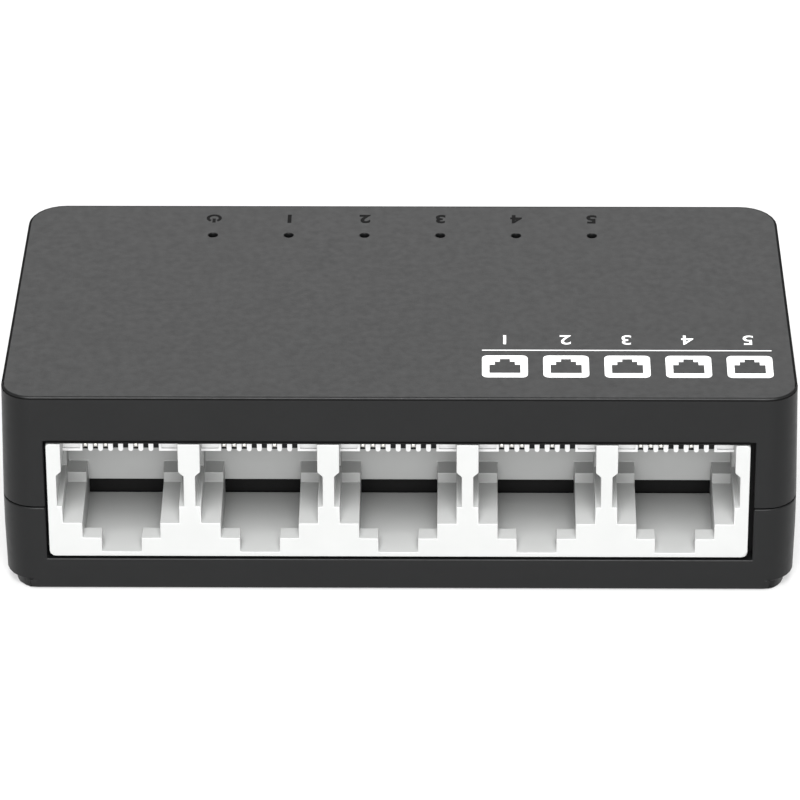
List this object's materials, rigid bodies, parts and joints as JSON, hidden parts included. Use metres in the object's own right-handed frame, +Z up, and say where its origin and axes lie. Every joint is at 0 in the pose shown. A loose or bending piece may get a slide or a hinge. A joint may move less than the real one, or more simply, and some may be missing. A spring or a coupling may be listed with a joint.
{
  "type": "desktop network switch",
  "caption": "Small desktop network switch: a two-part plastic case round a white block of modular sockets, with indicator holes on top and a barrel power inlet in one side.",
  "frame": {"origin": "under the middle of the case, on the surface that the feet stand on", "axes": "+Z up; the sockets face -Y; +X is to the right for someone who looks at the sockets; the power inlet faces -X"},
  "size_m": [0.0802, 0.04, 0.0226],
  "materials": {
    "case_plastic": "fine satin texture, charcoal",
    "socket_plastic": "smooth white moulding",
    "contact_metal": "bright-plated spring wire",
    "carrier_plastic": "black moulding",
    "jack_plastic": "black moulding",
    "plated_steel": "tin-plated",
    "screw_steel": "zinc-plated",
    "rubber": "matt black",
    "label_film": "blank film label",
    "board": "green solder mask",
    "chip_resin": "black moulded resin",
    "ferrite": "dark grey ferrite",
    "capacitor_sleeve": "printed sleeve",
    "led_lens": "clear lens"
  },
  "bodies": {
    "root": {"top_cover": "case_plastic", "bottom_cover": "case_plastic", "port_block": "socket_plastic", "port_1_contact_carrier": "carrier_plastic", "port_2_contact_carrier": "carrier_plastic", "port_3_contact_carrier": "carrier_plastic", "port_4_contact_carrier": "carrier_plastic", "port_5_contact_carrier": "carrier_plastic", "power_jack_body": "jack_plastic", "power_jack_pin": "plated_steel", "crystal": "plated_steel", "case_screw_1": "screw_steel", "case_screw_2": "screw_steel", "foot_1": "rubber", "foot_2": "rubber", "foot_3": "rubber", "foot_4": "rubber", "rating_label": "label_film", "circuit_board": "board", "switch_chip": "chip_resin", "voltage_regulator": "chip_resin", "transformer_quad": "chip_resin", "transformer_single": "chip_resin", "power_inductor": "ferrite", "input_capacitor": "capacitor_sleeve", "output_capacitor": "capacitor_sleeve", "led_power": "led_lens", "led_1": "led_lens", "led_2": "led_lens", "led_3": "led_lens", "led_4": "led_lens", "led_5": "led_lens"},
    "port_1_contacts": {"port_1_contact_1": "contact_metal", "port_1_contact_2": "contact_metal", "port_1_contact_3": "contact_metal", "port_1_contact_6": "contact_metal"},
    "port_2_contacts": {"port_2_contact_1": "contact_metal", "port_2_contact_2": "contact_metal", "port_2_contact_3": "contact_metal", "port_2_contact_6": "contact_metal"},
    "port_3_contacts": {"port_3_contact_1": "contact_metal", "port_3_contact_2": "contact_metal", "port_3_contact_3": "contact_metal", "port_3_contact_6": "contact_metal"},
    "port_4_contacts": {"port_4_contact_1": "contact_metal", "port_4_contact_2": "contact_metal", "port_4_contact_3": "contact_metal", "port_4_contact_6": "contact_metal"},
    "port_5_contacts": {"port_5_contact_1": "contact_metal", "port_5_contact_2": "contact_metal", "port_5_contact_3": "contact_metal", "port_5_contact_6": "contact_metal"},
    "power_jack_leaf": {"power_jack_spring": "plated_steel"}
  },
  "joints": [
    {"name": "port_1_contact_flex", "type": "hinge", "parent": "root", "child": "port_1_contacts", "pos_m": [-0.02806, -0.01658, 0.01538], "axis": [1, 0, 0], "range_deg": [0, 10], "stiffness_Nm_per_rad": 0.1},
    {"name": "port_2_contact_flex", "type": "hinge", "parent": "root", "child": "port_2_contacts", "pos_m": [-0.01409, -0.01658, 0.01538], "axis": [1, 0, 0], "range_deg": [0, 10], "stiffness_Nm_per_rad": 0.1},
    {"name": "port_3_contact_flex", "type": "hinge", "parent": "root", "child": "port_3_contacts", "pos_m": [-0.00012, -0.01658, 0.01538], "axis": [1, 0, 0], "range_deg": [0, 10], "stiffness_Nm_per_rad": 0.1},
    {"name": "port_4_contact_flex", "type": "hinge", "parent": "root", "child": "port_4_contacts", "pos_m": [0.01385, -0.01658, 0.01538], "axis": [1, 0, 0], "range_deg": [0, 10], "stiffness_Nm_per_rad": 0.1},
    {"name": "port_5_contact_flex", "type": "hinge", "parent": "root", "child": "port_5_contacts", "pos_m": [0.02782, -0.01658, 0.01538], "axis": [1, 0, 0], "range_deg": [0, 10], "stiffness_Nm_per_rad": 0.1},
    {"name": "power_jack_spring_flex", "type": "hinge", "parent": "root", "child": "power_jack_leaf", "pos_m": [-0.02825, 0.0035, 0.0067], "axis": [0, 1, 0], "range_deg": [-6, 0], "stiffness_Nm_per_rad": 0.1}
  ]
}
